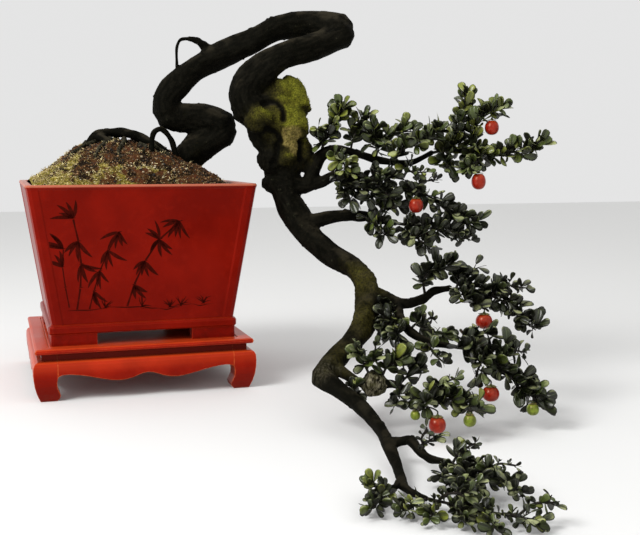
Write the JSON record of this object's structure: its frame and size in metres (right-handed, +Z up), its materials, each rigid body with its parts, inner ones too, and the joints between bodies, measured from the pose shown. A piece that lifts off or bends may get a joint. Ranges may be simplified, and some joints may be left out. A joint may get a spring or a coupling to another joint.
{
  "type": "chinese persimmon bonsai",
  "caption": "Cascading persimmon bonsai for display: a twisted trunk trails from a square tapered red pot on a low red stand, with leafy tiers and small ripe fruit.",
  "frame": {"origin": "under the middle of the whole bonsai's box, on the floor it stands on", "axes": "+Z up, -Y out of the front face of the pot, +X to the side that the tree cascades to"},
  "size_m": [0.8624, 1.1416, 0.6565],
  "materials": {
    "red_lacquer": "glossy red lacquer on wood, worn to orange on the edges",
    "red_glaze": "glossy red glaze",
    "bark": "rough dark bark with moss on the burl",
    "leaf": "waxy dark green leaves",
    "ripe_fruit": "smooth orange-red skin",
    "unripe_fruit": "smooth yellow-green skin",
    "soil": "gritty soil with moss and pebbles",
    "screen": "black plastic mesh"
  },
  "bodies": {
    "root": {"stand_rail_front": "red_lacquer", "stand_rail_right": "red_lacquer", "stand_rail_back": "red_lacquer", "stand_rail_left": "red_lacquer", "stand_panel": "red_lacquer", "stand_apron_front": "red_lacquer", "stand_apron_right": "red_lacquer", "stand_apron_back": "red_lacquer", "stand_apron_left": "red_lacquer", "stand_leg_front_right": "red_lacquer", "stand_leg_back_right": "red_lacquer", "stand_leg_back_left": "red_lacquer", "stand_leg_front_left": "red_lacquer", "pot": "red_glaze", "drain_screen": "screen", "soil": "soil", "trunk": "bark", "tier1_left_spray": "leaf", "tier1_left_upper_spray": "leaf", "tier1_left_lower_spray": "leaf", "tier1_middle_spray": "leaf", "tier1_front_spray": "leaf", "tier1_hanging_spray": "leaf", "tier1_outer_spray": "leaf", "tier2_inner_spray": "leaf", "tier2_middle_spray": "leaf", "tier2_outer_spray": "leaf", "tier2_hanging_spray": "leaf", "tier2_back_spray": "leaf", "tier2_lower_spray": "leaf", "tier3_inner_spray": "leaf", "tier3_outer_spray": "leaf", "tier4_inner_spray": "leaf", "tier4_trunk_spray": "leaf", "tier4_upper_spray": "leaf", "tier4_lower_spray": "leaf", "tier4_outer_spray": "leaf", "tier5_stub_spray": "leaf", "tier5_upper_spray": "leaf", "tier5_middle_spray": "leaf", "tier5_outer_spray": "leaf", "tier5_twig": "leaf", "tier6_inner_spray": "leaf", "tier6_outer_spray": "leaf", "tier7_left_spray": "leaf", "tier7_outer_spray": "leaf", "fruit_top": "ripe_fruit", "fruit_top_hanging": "ripe_fruit", "fruit_second_tier": "ripe_fruit", "fruit_third_tier": "ripe_fruit", "fruit_fourth_tier": "ripe_fruit", "fruit_fifth_tier": "ripe_fruit", "fruit_unripe_small": "unripe_fruit", "fruit_unripe_lower": "unripe_fruit", "fruit_unripe_outer": "unripe_fruit"}
  },
  "joints": []
}
